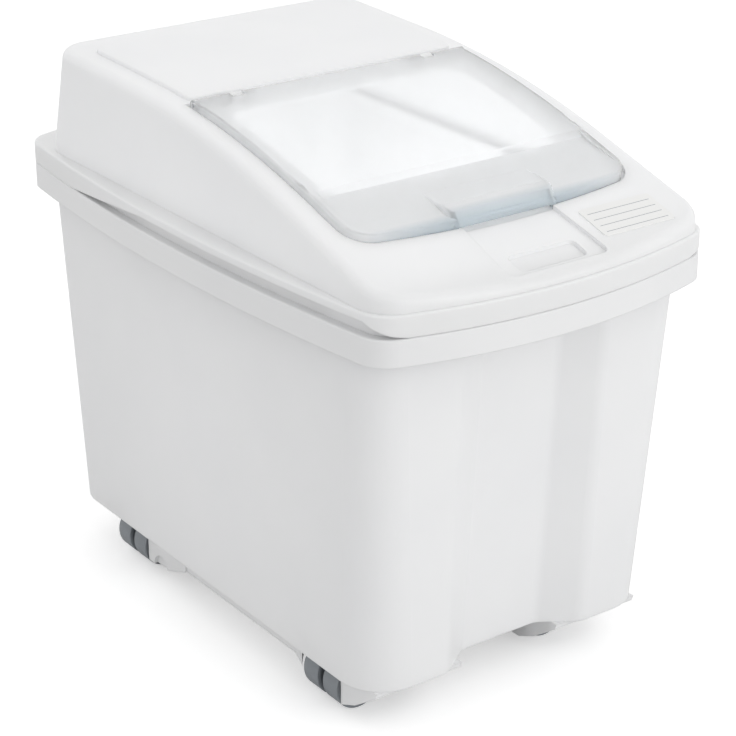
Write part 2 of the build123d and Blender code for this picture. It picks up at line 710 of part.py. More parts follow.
# Inside of the tub, which leaves a skin over each pocket and a pad for its screws
with BuildPart() as tub_hollow:
    loft(sections=[tub_face(CREASE_Z + WALL, WALL), tub_face(RECESS_TOP_Z + WALL, WALL)])
    loft(
        sections=[
            tub_face(RECESS_TOP_Z + WALL, WALL, False),
            tub_face(TUB_TOP_Z + 1, WALL, False),
        ]
    )
    loft(sections=[pan_face(CREASE_Z + WALL, WALL), belly_face(BELLY_Z + WALL, WALL)])
    for x, y in CASTER_PLACES.values():
        add(caster_pocket(x, y, WALL), mode=Mode.SUBTRACT)
        with BuildSketch(Plane.XY.offset(POCKET_TOP_Z)):
            with Locations((x, y)):
                Circle(POCKET_TOP_RADIUS + WALL)
        extrude(amount=PAD_TOP_Z - POCKET_TOP_Z, mode=Mode.SUBTRACT)

# Tub: rim, wall, base pan and caster pockets
with BuildPart() as tub:
    extrude(to_extrude=rim_face(BAND_BOTTOM_Z), amount=BAND_TOP_Z - BAND_BOTTOM_Z)
    fillet(tub.edges().group_by(Axis.Z)[-1], BAND_EDGE_RADIUS)
    extrude(to_extrude=rim_face(BAND_TOP_Z, NECK_INSET), amount=TUB_TOP_Z - BAND_TOP_Z)
    extrude(
        to_extrude=rim_face(BAND_BOTTOM_Z, SKIN),
        amount=BAND_TOP_Z - SKIN - BAND_BOTTOM_Z,
        mode=Mode.SUBTRACT,
    )
    extrude(
        to_extrude=rim_face(BAND_BOTTOM_Z, NECK_INSET + SKIN),
        amount=TUB_TOP_Z - WALL - BAND_BOTTOM_Z,
        mode=Mode.SUBTRACT,
    )
    loft(sections=[tub_face(CREASE_Z), tub_face(RECESS_TOP_Z)])
    loft(sections=[tub_face(RECESS_TOP_Z, 0, False), tub_face(TUB_TOP_Z, 0, False)])

    # base pan, the deeper housings in front and the notched feet behind
    loft(sections=[pan_face(CREASE_Z), belly_face(BELLY_Z)])
    for side in (1, -1):
        with BuildSketch(Plane.YZ.offset(side * HOUSING_INNER_X)):
            with BuildLine():
                Polyline(*[(FRONT_CASTER_Y + along, z) for along, z in HOUSING_POINTS], close=True)
            make_face()
        extrude(amount=side * (PAN_HALF_WIDTH - HOUSING_INNER_X))
        with BuildSketch(Plane.YZ.offset(side * FOOT_INNER_X)):
            with BuildLine():
                Polyline(*[(REAR_CASTER_Y + along, z) for along, z in FOOT_POINTS], close=True)
            make_face()
        extrude(amount=side * (PAN_HALF_WIDTH - FOOT_INNER_X))
        with BuildSketch(Plane.YZ.offset(side * (PAN_HALF_WIDTH - FOOT_NOTCH_DEPTH))):
            with Locations((FOOT_NOTCH_Y, FOOT_Z)):
                Circle(FOOT_NOTCH_RADIUS)
        extrude(amount=side * 2 * FOOT_NOTCH_DEPTH, mode=Mode.SUBTRACT)

    # hollow inside, caster pockets and blind holes for their screws
    add(tub_hollow.part, mode=Mode.SUBTRACT)
    for x, y in CASTER_PLACES.values():
        add(caster_pocket(x, y), mode=Mode.SUBTRACT)
        with BuildSketch(Plane.XY.offset(POCKET_TOP_Z)):
            with Locations((x, y)):
                with GridLocations(SCREW_SPACING, SCREW_SPACING, 2, 2):
                    Circle(SCREW_RADIUS)
        extrude(amount=SCREW_DEPTH, mode=Mode.SUBTRACT)
save(tub.part, "tub")

# One caster, built round its swivel axis at the origin
PLATE_UNDER_Z = POCKET_TOP_Z - PLATE_THICKNESS
AXLE_PLANE = Plane((-TRAIL, 0, WHEEL_RADIUS), x_dir=(1, 0, 0), z_dir=(0, -1, 0))
HALF_TRACK = WHEEL_GAP_HALF + WHEEL_WIDTH

with BuildPart() as caster_plate:
    with BuildSketch(Plane.XY.offset(PLATE_UNDER_Z)):
        RectangleRounded(PLATE_SIDE, PLATE_SIDE, PLATE_CORNER_RADIUS)
        Circle(KINGPIN_RADIUS, mode=Mode.SUBTRACT)
        with GridLocations(SCREW_SPACING, SCREW_SPACING, 2, 2):
            Circle(SCREW_RADIUS + RUNNING_FIT, mode=Mode.SUBTRACT)
    extrude(amount=PLATE_THICKNESS)

with BuildPart() as plate_screws:
    with BuildSketch(Plane.XY.offset(PLATE_UNDER_Z - SCREW_HEAD_HEIGHT)):
        with GridLocations(SCREW_SPACING, SCREW_SPACING, 2, 2):
            Circle(SCREW_HEAD_RADIUS)
    extrude(amount=SCREW_HEAD_HEIGHT)
    fillet(plate_screws.edges().group_by(Axis.Z)[0], SCREW_HEAD_ROUND)
    with BuildSketch(Plane.XY.offset(PLATE_UNDER_Z)):
        with GridLocations(SCREW_SPACING, SCREW_SPACING, 2, 2):
            Circle(SCREW_RADIUS)
    extrude(amount=PLATE_THICKNESS + SCREW_DEPTH - SCREW_END_GAP)

with BuildPart() as kingpin:
    with BuildSketch(Plane.XY.offset(KINGPIN_HEAD_Z)):
        Circle(KINGPIN_HEAD_RADIUS)
    extrude(amount=KINGPIN_HEAD_HEIGHT)
    with BuildSketch(Plane.XY.offset(KINGPIN_HEAD_Z)):
        Circle(KINGPIN_RADIUS)
    extrude(amount=POCKET_TOP_Z - KINGPIN_HEAD_Z)

with BuildPart() as caster_hood:
    with BuildSketch(AXLE_PLANE):
        Circle(HOOD_RADIUS)
    extrude(amount=HALF_TRACK, both=True)
    with BuildSketch(Plane.XY.offset(HOOD_EDGE_Z)):
        Circle(TURRET_RADIUS)
    extrude(amount=PLATE_UNDER_Z - PLATE_GAP - HOOD_EDGE_Z)
    with BuildSketch(Plane.XY.offset(-HOOD_RADIUS)):
        with Locations((-TRAIL, 0)):
            Rectangle(2 * HOOD_RADIUS, 2 * HALF_TRACK)
    extrude(amount=HOOD_RADIUS + HOOD_EDGE_Z, mode=Mode.SUBTRACT)
    for side in (1, -1):
        with BuildSketch(AXLE_PLANE.offset(side * HUB_HALF)):
            Circle(WHEEL_RADIUS + HOOD_CLEARANCE)
        extrude(amount=side * WHEEL_WIDTH * 2, mode=Mode.SUBTRACT)
    with BuildSketch(AXLE_PLANE):
        with BuildLine():
            Polyline(*WEB_POINTS, close=True)
        make_face()
        Circle(AXLE_BOSS_RADIUS)
    extrude(amount=HUB_HALF, both=True)
    with BuildSketch(AXLE_PLANE):
        Circle(AXLE_RADIUS)
    extrude(amount=HALF_TRACK, both=True, mode=Mode.SUBTRACT)
    with BuildSketch(Plane.XY.offset(KINGPIN_HEAD_Z)):
        Circle(KINGPIN_RADIUS + RUNNING_FIT)
    extrude(amount=PLATE_THICKNESS + KINGPIN_HEAD_Z, mode=Mode.SUBTRACT)
    with BuildSketch(Plane.XY):
        Circle(KINGPIN_HEAD_RADIUS + PLATE_GAP)
    extrude(amount=KINGPIN_HEAD_Z + KINGPIN_HEAD_HEIGHT + PLATE_GAP / 2, mode=Mode.SUBTRACT)

with BuildPart() as axle:
    with BuildSketch(AXLE_PLANE):
        Circle(AXLE_RADIUS)
    extrude(amount=HALF_TRACK + AXLE_HEAD_GAP, both=True)
    for side in (1, -1):
        with BuildSketch(AXLE_PLANE.offset(side * (HALF_TRACK + AXLE_HEAD_GAP - HUB_RECESS))):
            Circle(AXLE_HEAD_RADIUS)
        extrude(amount=side * AXLE_HEAD_HEIGHT)


# Wheel on one side of the hood's web: tread, dished faces and hub
def caster_wheel(side):
    section = [
        (side * (WHEEL_GAP_HALF + along), WHEEL_RADIUS + radius) for along, radius in WHEEL_SECTION
    ]
    with BuildPart() as wheel:
        with BuildSketch(Plane.YZ.offset(-TRAIL)):
            with BuildLine():
                Polyline(*section, close=True)
            make_face()
        revolve(axis=Axis((-TRAIL, 0, WHEEL_RADIUS), (0, 1, 0)))
        rims = wheel.edges().filter_by(lambda e: abs(e.length - 2 * pi * WHEEL_RADIUS) < 1)
        fillet(rims, WHEEL_EDGE_RADIUS)
    return wheel.part


caster = {
    "caster_plate": caster_plate.part,
    "plate_screws": plate_screws.part,
    "kingpin": kingpin.part,
    "caster_hood": caster_hood.part,
    "axle": axle.part,
    "wheel_fore": caster_wheel(-1),
    "wheel_aft": caster_wheel(1),
}
for place, (x, y) in CASTER_PLACES.items():
    for piece, shape in caster.items():
        save(shape.moved(Location((x, y, 0))), f"{place}_{piece}")
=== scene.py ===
import math

import bpy
from bpy.props import FloatProperty, FloatVectorProperty, IntProperty, PointerProperty
from mathutils import Matrix, Vector


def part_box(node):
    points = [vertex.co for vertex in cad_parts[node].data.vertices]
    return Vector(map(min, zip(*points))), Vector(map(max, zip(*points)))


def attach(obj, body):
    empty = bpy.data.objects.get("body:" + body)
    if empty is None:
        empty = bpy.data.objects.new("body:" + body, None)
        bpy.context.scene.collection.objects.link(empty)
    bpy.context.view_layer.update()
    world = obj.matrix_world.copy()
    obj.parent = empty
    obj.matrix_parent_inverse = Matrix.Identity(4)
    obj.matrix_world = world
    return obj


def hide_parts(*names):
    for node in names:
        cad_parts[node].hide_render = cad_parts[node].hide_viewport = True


bl_info = {
    "name": "Ingredient Bin",
    "version": (1, 0, 0),
    "blender": (4, 5, 0),
    "location": "3D View > Sidebar > Bin",
    "description": "Dresses a wheeled ingredient bin with its plastics, fittings and studio",
    "category": "Object",
}

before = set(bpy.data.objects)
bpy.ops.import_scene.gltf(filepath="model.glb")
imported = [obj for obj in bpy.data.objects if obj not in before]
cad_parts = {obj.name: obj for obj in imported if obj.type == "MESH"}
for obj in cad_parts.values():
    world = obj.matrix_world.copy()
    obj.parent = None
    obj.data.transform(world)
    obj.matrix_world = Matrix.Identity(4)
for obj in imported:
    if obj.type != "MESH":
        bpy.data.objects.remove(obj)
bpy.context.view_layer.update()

CASTERS = ("front_left", "front_right", "rear_left", "rear_right")
STEEL_FITTINGS = ("caster_plate", "kingpin", "axle", "plate_screws")

# Moulded plastics, with lengths in metres; a relief is its strength and its depth
CLOUD_SCALE = 7.0
FINE_DETAIL = 3.0
MOULD_RELIEF = (0.25, 0.00005)
MOULD_GLOSS = 0.45
SMOOTHER_BY = 0.05
ROUGHER_BY = 0.07
GLOW_DEPTH = 0.012
GLOW_SPREAD = (1.0, 1.0, 1.05)
TUB_ROUGHNESS = 0.36
TUB_GLOW = 0.12
LID_ROUGHNESS = 0.34
LID_GLOW = 0.3
HOOD_ROUGHNESS = 0.42
WHEEL_ROUGHNESS = 0.4
NYLON_SHADE = 0.85
BEVEL_SAMPLES = 4

# Clear flap
HAZE_SCALE = 28.0
FLAP_ROUGHNESS = (0.02, 0.07)
FLAP_RELIEF = (0.05, 0.0003)
FLAP_IOR = 1.25
# painted shade along the flap's front edge: where it starts and ends, behind the front
EDGE_SHADE_START = 0.004
EDGE_SHADE_END = 0.014

# Plated steel
PATCH_SCALE = 90.0
SCRATCH_SCALE = 260.0
SCRATCH_STRETCH = (1.0, 8.0, 1.0)
STEEL_SHADE = 0.8
STEEL_ROUGHNESS = (0.28, 0.45)
STEEL_RELIEF = (0.15, 0.00005)

# Write-on plate
PLATE_GRAIN_SCALE = 900.0
PLATE_ROUGHNESS = (0.35, 0.5)
PLATE_RELIEF = (0.1, 0.00003)
PLATE_MARGIN = 0.005
LINE_SHARE = 0.07

# Wheels
WHEEL_SIDES = 72
HUB_RISE = 0.6
SMOOTH_ANGLE = math.radians(40)

# Studio
FLOOR_SIZE = 30.0
FLOOR_CLOUD_SCALE = 3.0
FLOOR_SHADE = 0.99
FLOOR_ROUGHNESS = 0.9
FLOOR_GLOSS = 0.1
AIM_POINT = (0.0, 0.0, 0.3)
KEY_PLACE = (1.1, -2.8, 0.95)
KEY_SIZE = 2.2
TOP_PLACE = (-0.5, 1.3, 3.0)
TOP_SIZE = 2.4
INSIDE_LIGHT_RADIUS = 0.1
SENSOR_WIDTH = 36.0


# Short helpers

def darker(colour, share):
    return tuple(share * part for part in colour)


def box_of(node_name):
    return tuple(Vector(corner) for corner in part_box(node_name))


def deselect_all():
    if bpy.context.mode != "OBJECT":
        bpy.ops.object.mode_set(mode="OBJECT")
    bpy.ops.object.select_all(action="DESELECT")


def colour_property(name, description, default):
    return FloatVectorProperty(
        name=name,
        description=description,
        subtype="COLOR",
        size=3,
        min=0.0,
        max=1.0,
        default=default,
    )


def length_property(name, description, default, least=0.0):
    return FloatProperty(name=name, description=description, default=default, min=least, unit="LENGTH")


def power_property(name, description, default):
    return FloatProperty(name=name, description=description, default=default, min=0.0, unit="POWER")


def strength_property(name, description, default):
    return FloatProperty(name=name, description=description, default=default, min=0.0)


# Settings that a user would change

class BinPlastics(bpy.types.PropertyGroup):
    tub_colour: colour_property("Tub", "Colour of the tub's plastic", (0.855, 0.857, 0.86))
    tub_shade: colour_property("Tub clouding", "Darker tone in the tub's plastic", (0.825, 0.828, 0.835))
    lid_colour: colour_property("Lid", "Colour of the lid's plastic", (0.90, 0.903, 0.907))
    lid_shade: colour_property("Lid clouding", "Darker tone in the lid's plastic", (0.87, 0.875, 0.883))
    flap_colour: colour_property("Flap", "Tint of the clear flap", (0.99, 0.996, 1.0))
    # painted shade: darker, bluer colour along the flap's front edge, standing in for light lost along
    # the clear plastic's length
    edge_shade_colour: colour_property(
        "Flap edge", "Deeper tint along the flap's front edge", (0.72, 0.79, 0.83)
    )
    flap_haze: FloatProperty(
        name="Flap haze",
        description="Share of milky white in the clear flap",
        default=0.3,
        min=0.0,
        max=1.0,
    )
    caster_colour: colour_property("Hoods", "Colour of the casters' hoods", (0.30, 0.325, 0.35))
    wheel_colour: colour_property("Wheels", "Colour of the wheels", (0.27, 0.29, 0.312))
    steel_colour: colour_property("Steel", "Colour of the plated fittings", (0.55, 0.56, 0.58))
    plate_colour: colour_property("Write-on plate", "Colour of the plate", (0.88, 0.88, 0.87))
    line_colour: colour_property("Ruled lines", "Colour of the lines on the plate", (0.33, 0.35, 0.38))
    edge_round: length_property("Edge softness", "Radius that moulded edges seem rounded to", 0.0012)
    grain_size: length_property("Grain", "Size of the mould's fine texture", 0.0009, 0.0001)
    line_gap: length_property("Line gap", "Distance between ruled lines", 0.0085, 0.002)


class BinWheels(bpy.types.PropertyGroup):
    tread: length_property("Tread", "Thickness of the wheel's tread ring", 0.0045)
    dish: length_property("Dish", "Depth of the dish in the wheel's face", 0.0025)
    hub: length_property("Hub", "Radius of the hub", 0.008)
    bore: length_property("Bore", "Radius of the axle's bore", 0.00305)
    softness: length_property("Softness", "Rounding of the wheel's edges", 0.0009)
    spokes: IntProperty(name="Spokes", description="Ribs in the wheel's dish", default=8, min=3, max=12)
    spoke_width: length_property("Spoke width", "Width of each rib", 0.0022)


class BinStudio(bpy.types.PropertyGroup):
    camera_place: FloatVectorProperty(
        name="Camera", description="Place of the camera", subtype="TRANSLATION", unit="LENGTH",
        default=(-1.14264, -1.60532, 1.09498),
    )
    camera_down: FloatProperty(
        name="Looking down", description="Camera's angle below level", subtype="ANGLE", default=0.4119
    )
    camera_turn: FloatProperty(
        name="Turn", description="Camera's turn about the upright axis", subtype="ANGLE", default=-0.6275
    )
    lens: FloatProperty(name="Lens", description="Focal length in millimetres", default=110.03, min=1.0)
    key_power: power_property("Key", "Power of the main light", 20.0)
    top_power: power_property("Top", "Power of the overhead light", 5.0)
    inside_power: power_property("Inside", "Power of the fill light inside the tub", 1.5)
    room_light: strength_property("Room", "Strength of the room's light", 0.82)
    floor_colour: colour_property("Floor", "Colour of the floor", (0.80, 0.80, 0.80))
    floor_lift: strength_property("Floor lift", "Whiteness that the floor shows to the camera", 0.45)


# Materials

class Recipe:
    """A node material under construction, with short names for its common steps."""

    def __init__(self, name):
        self.material = bpy.data.materials.new(name)
        self.material.use_nodes = True
        self.tree = self.material.node_tree
        self.tree.nodes.clear()
        self.output = self.add("ShaderNodeOutputMaterial")
        self.shader = self.add("ShaderNodeBsdfPrincipled")
        self.join(self.shader.outputs["BSDF"], self.output.inputs["Surface"])
        self.place = self.add("ShaderNodeTexCoord").outputs["Object"]

    def add(self, kind):
        return self.tree.nodes.new(kind)

    def join(self, start, end):
        self.tree.links.new(start, end)

    def noise(self, scale, detail=2.0, stretch=None):
        node = self.add("ShaderNodeTexNoise")
        node.inputs["Scale"].default_value = scale
        node.inputs["Detail"].default_value = detail
        if stretch:
            mapping = self.add("ShaderNodeMapping")
            mapping.inputs["Scale"].default_value = stretch
            self.join(self.place, mapping.inputs["Vector"])
            self.join(mapping.outputs["Vector"], node.inputs["Vector"])
        else:
            self.join(self.place, node.inputs["Vector"])
        return node.outputs["Fac"]

    def spread(self, value, low, high, start=0.3, end=0.7):
        node = self.add("ShaderNodeMapRange")
        node.inputs["From Min"].default_value = start
        node.inputs["From Max"].default_value = end
        node.inputs["To Min"].default_value = low
        node.inputs["To Max"].default_value = high
        self.join(value, node.inputs["Value"])
        return node.outputs["Result"]

    def blend(self, share, first, second):
        node = self.add("ShaderNodeMix")
        node.data_type = "RGBA"
        node.inputs["A"].default_value = (*first, 1.0)
        node.inputs["B"].default_value = (*second, 1.0)
        self.join(share, node.inputs["Factor"])
        return node.outputs["Result"]

    def relief(self, height, strength, distance, edge_round=0.0):
        bump = self.add("ShaderNodeBump")
        bump.inputs["Strength"].default_value = strength
        bump.inputs["Distance"].default_value = distance
        self.join(height, bump.inputs["Height"])
        if edge_round:
            bevel = self.add("ShaderNodeBevel")
            bevel.samples = BEVEL_SAMPLES
            bevel.inputs["Radius"].default_value = edge_round
            self.join(bevel.outputs["Normal"], bump.inputs["Normal"])
        self.join(bump.outputs["Normal"], self.shader.inputs["Normal"])

    def set(self, **values):
        for name, value in values.items():
            self.shader.inputs[name.replace("_", " ")].default_value = value


def moulded_plastic(name, colour, shade, roughness, glow, grain_size, edge_round):
    recipe = Recipe(name)
    clouds = recipe.noise(CLOUD_SCALE, FINE_DETAIL)
    tone = recipe.blend(recipe.spread(clouds, 0.0, 1.0), tuple(colour), tuple(shade))
    recipe.join(tone, recipe.shader.inputs["Base Color"])
    grain = recipe.noise(1.0 / grain_size, FINE_DETAIL)
    finish = recipe.spread(grain, roughness - SMOOTHER_BY, roughness + ROUGHER_BY)
    recipe.join(finish, recipe.shader.inputs["Roughness"])
    recipe.relief(grain, *MOULD_RELIEF, edge_round)
    recipe.set(Subsurface_Weight=glow, Subsurface_Scale=GLOW_DEPTH, Subsurface_Radius=GLOW_SPREAD)
    recipe.set(Specular_IOR_Level=MOULD_GLOSS)
    return recipe.material


def clear_plastic(name, tint, edge_shade, haze_share, front_y):
    recipe = Recipe(name)
    haze = recipe.noise(HAZE_SCALE)
    recipe.join(recipe.spread(haze, *FLAP_ROUGHNESS), recipe.shader.inputs["Roughness"])
    split = recipe.add("ShaderNodeSeparateXYZ")
    recipe.join(recipe.place, split.inputs["Vector"])
    # painted shade: the colour turns darker and bluer towards the front edge, standing in for light lost
    # along the clear plastic's length
    near_edge = recipe.spread(
        split.outputs["Y"], 1.0, 0.0, front_y + EDGE_SHADE_START, front_y + EDGE_SHADE_END
    )
    tone = recipe.blend(near_edge, tuple(tint), tuple(edge_shade))
    recipe.join(tone, recipe.shader.inputs["Base Color"])
    recipe.relief(haze, *FLAP_RELIEF)
    recipe.set(Transmission_Weight=1.0 - haze_share, IOR=FLAP_IOR)

    # light from lamps goes through, as it does in the real plate
    shadow = recipe.add("ShaderNodeLightPath").outputs["Is Shadow Ray"]
    through = recipe.add("ShaderNodeBsdfTransparent")
    clearness = 1.0 - haze_share / 2
    through.inputs["Color"].default_value = (clearness, clearness, clearness, 1.0)
    pick = recipe.add("ShaderNodeMixShader")
    recipe.join(shadow, pick.inputs["Fac"])
    recipe.join(recipe.shader.outputs["BSDF"], pick.inputs[1])
    recipe.join(through.outputs["BSDF"], pick.inputs[2])
    recipe.join(pick.outputs["Shader"], recipe.output.inputs["Surface"])
    return recipe.material


def plated_steel(name, colour):
    recipe = Recipe(name)
    patches = recipe.noise(PATCH_SCALE, FINE_DETAIL)
    scratches = recipe.noise(SCRATCH_SCALE, stretch=SCRATCH_STRETCH)
    tone = recipe.blend(recipe.spread(patches, 0.0, 1.0), tuple(colour), darker(colour, STEEL_SHADE))
    recipe.join(tone, recipe.shader.inputs["Base Color"])
    recipe.join(recipe.spread(scratches, *STEEL_ROUGHNESS), recipe.shader.inputs["Roughness"])
    recipe.relief(scratches, *STEEL_RELIEF)
    recipe.set(Metallic=1.0)
    return recipe.material


def ruled_plate(name, colour, line_colour, gap, low, high):
    recipe = Recipe(name)
    split = recipe.add("ShaderNodeSeparateXYZ")
    recipe.join(recipe.place, split.inputs["Vector"])

    def step(operation, first, second):
        node = recipe.add("ShaderNodeMath")
        node.operation = operation
        for socket, value in zip(node.inputs, (first, second)):
            if isinstance(value, float):
                socket.default_value = value
            elif value is not None:
                recipe.join(value, socket)
        return node.outputs["Value"]

    along = step("DIVIDE", step("SUBTRACT", split.outputs["Y"], low.y + 0.5 * gap), gap)
    in_line = step("LESS_THAN", step("FRACT", along, None), LINE_SHARE)
    right = step("LESS_THAN", split.outputs["X"], high.x - PLATE_MARGIN)
    left = step("GREATER_THAN", split.outputs["X"], low.x + PLATE_MARGIN)
    front = step("GREATER_THAN", split.outputs["Y"], low.y + 0.4 * gap)
    rear = step("LESS_THAN", split.outputs["Y"], high.y - 0.5 * gap)
    inside = step("MULTIPLY", step("MULTIPLY", left, right), step("MULTIPLY", front, rear))
    ink = step("MULTIPLY", in_line, inside)
    tone = recipe.blend(ink, tuple(colour), tuple(line_colour))
    recipe.join(tone, recipe.shader.inputs["Base Color"])
    grain = recipe.noise(PLATE_GRAIN_SCALE)
    recipe.join(recipe.spread(grain, *PLATE_ROUGHNESS), recipe.shader.inputs["Roughness"])
    recipe.relief(grain, *PLATE_RELIEF)
    return recipe.material


# Modelling helpers

def edit(piece):
    deselect_all()
    piece.select_set(True)
    bpy.context.view_layer.objects.active = piece
    bpy.ops.object.mode_set(mode="EDIT")
    bpy.ops.mesh.select_mode(type="FACE")
    bpy.ops.mesh.select_all(action="DESELECT")


def pick_faces(piece, wanted):
    bpy.ops.object.mode_set(mode="OBJECT")
    for face in piece.data.polygons:
        face.select = wanted(face)
    bpy.ops.object.mode_set(mode="EDIT")


def soften(piece, width, segments=3):
    bpy.ops.object.mode_set(mode="OBJECT")
    bevel = piece.modifiers.new("soft_edges", "BEVEL")
    bevel.width = width
    bevel.segments = segments
    bevel.limit_method = "ANGLE"
    bpy.ops.object.modifier_apply(modifier=bevel.name)
    bpy.ops.object.shade_smooth_by_angle(angle=SMOOTH_ANGLE)


def settle(piece):
    deselect_all()
    piece.select_set(True)
    bpy.context.view_layer.objects.active = piece
    bpy.ops.object.transform_apply(location=True, rotation=True, scale=True)


def dress(node_name, material):
    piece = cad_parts[node_name]
    piece.data.materials.clear()
    piece.data.materials.append(material)


# Operators, one for each piece or group

class BIN_OT_tub(bpy.types.Operator):
    """Give the tub its moulded plastic"""

    bl_idname = "bin.tub"
    bl_label = "Tub"

    def execute(self, context):
        look = context.scene.bin_plastics
        dress("tub", moulded_plastic(
            "tub_plastic",
            look.tub_colour,
            look.tub_shade,
            TUB_ROUGHNESS,
            TUB_GLOW,
            look.grain_size,
            look.edge_round,
        ))
        return {"FINISHED"}


class BIN_OT_lid(bpy.types.Operator):
    """Give the lid its moulded plastic"""

    bl_idname = "bin.lid"
    bl_label = "Lid"

    def execute(self, context):
        look = context.scene.bin_plastics
        dress("lid", moulded_plastic(
            "lid_plastic",
            look.lid_colour,
            look.lid_shade,
            LID_ROUGHNESS,
            LID_GLOW,
            look.grain_size,
            look.edge_round,
        ))
        return {"FINISHED"}


class BIN_OT_flap(bpy.types.Operator):
    """Make the flap clear and its pins steel"""

    bl_idname = "bin.flap"
    bl_label = "Flap and pins"

    def execute(self, context):
        look = context.scene.bin_plastics
        front_y = box_of("flap")[0].y
        dress("flap", clear_plastic(
            "clear_plastic", look.flap_colour, look.edge_shade_colour, look.flap_haze, front_y
        ))
        pins = plated_steel("pin_steel", look.steel_colour)
        for side in ("left", "right"):
            dress(f"hinge_pin_{side}", pins)
        return {"FINISHED"}


class BIN_OT_write_on_plate(bpy.types.Operator):
    """Rule the write-on plate with plain lines"""

    bl_idname = "bin.write_on_plate"
    bl_label = "Write-on plate"

    def execute(self, context):
        look = context.scene.bin_plastics
        low, high = box_of("write_on_plate")
        dress("write_on_plate", ruled_plate(
            "plate_film", look.plate_colour, look.line_colour, look.line_gap, low, high
        ))
        return {"FINISHED"}


class BIN_OT_wheels(bpy.types.Operator):
    """Model a dished wheel with ribs and set it on every axle"""

    bl_idname = "bin.wheels"
    bl_label = "Wheels"

    def execute(self, context):
        look = context.scene.bin_plastics
        size = context.scene.bin_wheels
        self.low, high = box_of("front_left_wheel_fore")
        self.centre = (self.low + high) / 2
        self.radius = (high.z - self.low.z) / 2
        self.width = high.y - self.low.y
        wheel = self.turned_wheel(size)
        self.add_spokes(wheel, size)
        settle(wheel)
        nylon = moulded_plastic(
            "wheel_nylon",
            look.wheel_colour,
            darker(look.wheel_colour, NYLON_SHADE),
            WHEEL_ROUGHNESS,
            0.0,
            look.grain_size,
            0.0,
        )
        wheel.data.materials.clear()
        wheel.data.materials.append(nylon)
        self.place_copies(wheel)
        bpy.data.objects.remove(wheel)
        return {"FINISHED"}

    def turned_wheel(self, size):
        deselect_all()
        bpy.ops.mesh.primitive_cylinder_add(
            vertices=WHEEL_SIDES,
            radius=self.radius,
            depth=self.width,
            location=self.centre,
            rotation=(math.pi / 2, 0.0, 0.0),
        )
        wheel = bpy.context.active_object
        settle(wheel)
        edit(wheel)

        # dish both round ends, raise the hub and open the bore
        pick_faces(wheel, lambda face: abs(face.normal.y) > 0.9)
        bpy.ops.mesh.inset(thickness=size.tread)
        bpy.ops.mesh.extrude_region_shrink_fatten(TRANSFORM_OT_shrink_fatten={"value": -size.dish})
        bpy.ops.mesh.inset(thickness=self.radius - size.tread - size.hub)
        bpy.ops.mesh.extrude_region_shrink_fatten(
            TRANSFORM_OT_shrink_fatten={"value": HUB_RISE * size.dish}
        )
        bpy.ops.mesh.inset(thickness=size.hub - size.bore)
        bpy.ops.mesh.bridge_edge_loops()
        soften(wheel, size.softness)
        return wheel

    def add_spokes(self, wheel, size):
        inner = size.hub - size.softness
        outer = self.radius - size.tread + size.softness
        middle = (inner + outer) / 2
        floor = self.low.y + size.dish
        ribs = []
        for number in range(size.spokes):
            angle = 2 * math.pi * number / size.spokes
            outwards = Vector((math.cos(angle), 0.0, math.sin(angle)))
            deselect_all()
            bpy.ops.mesh.primitive_cube_add(
                size=1.0,
                location=self.centre + middle * outwards,
                rotation=(0.0, -angle, 0.0),
                scale=(outer - inner, size.dish, size.spoke_width),
            )
            rib = bpy.context.active_object
            rib.location.y = floor
            settle(rib)
            soften(rib, size.spoke_width / 4, 2)
            ribs.append(rib)
        deselect_all()
        for rib in ribs:
            rib.select_set(True)
        wheel.select_set(True)
        bpy.context.view_layer.objects.active = wheel
        bpy.ops.object.join()

    def place_copies(self, wheel):
        for place in CASTERS:
            for side, turn in (("fore", 0.0), ("aft", math.pi)):
                node = f"{place}_wheel_{side}"
                low, high = box_of(node)
                mesh = wheel.data.copy()
                mesh.transform(
                    Matrix.Translation((low + high) / 2)
                    @ Matrix.Rotation(turn, 4, "Z")
                    @ Matrix.Translation(-self.centre)
                )
                copy = bpy.data.objects.new(f"{place}_{side}_dished_wheel", mesh)
                bpy.context.scene.collection.objects.link(copy)
                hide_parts(node)
                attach(copy, node)


class BIN_OT_casters(bpy.types.Operator):
    """Dress the casters' hoods and steel fittings"""

    bl_idname = "bin.casters"
    bl_label = "Casters"

    def execute(self, context):
        look = context.scene.bin_plastics
        nylon = moulded_plastic(
            "caster_nylon",
            look.caster_colour,
            darker(look.caster_colour, NYLON_SHADE),
            HOOD_ROUGHNESS,
            0.0,
            look.grain_size,
            look.edge_round / 2,
        )
        steel = plated_steel("caster_steel", look.steel_colour)
        for place in CASTERS:
            dress(f"{place}_caster_hood", nylon)
            for piece in STEEL_FITTINGS:
                dress(f"{place}_{piece}", steel)
        return {"FINISHED"}


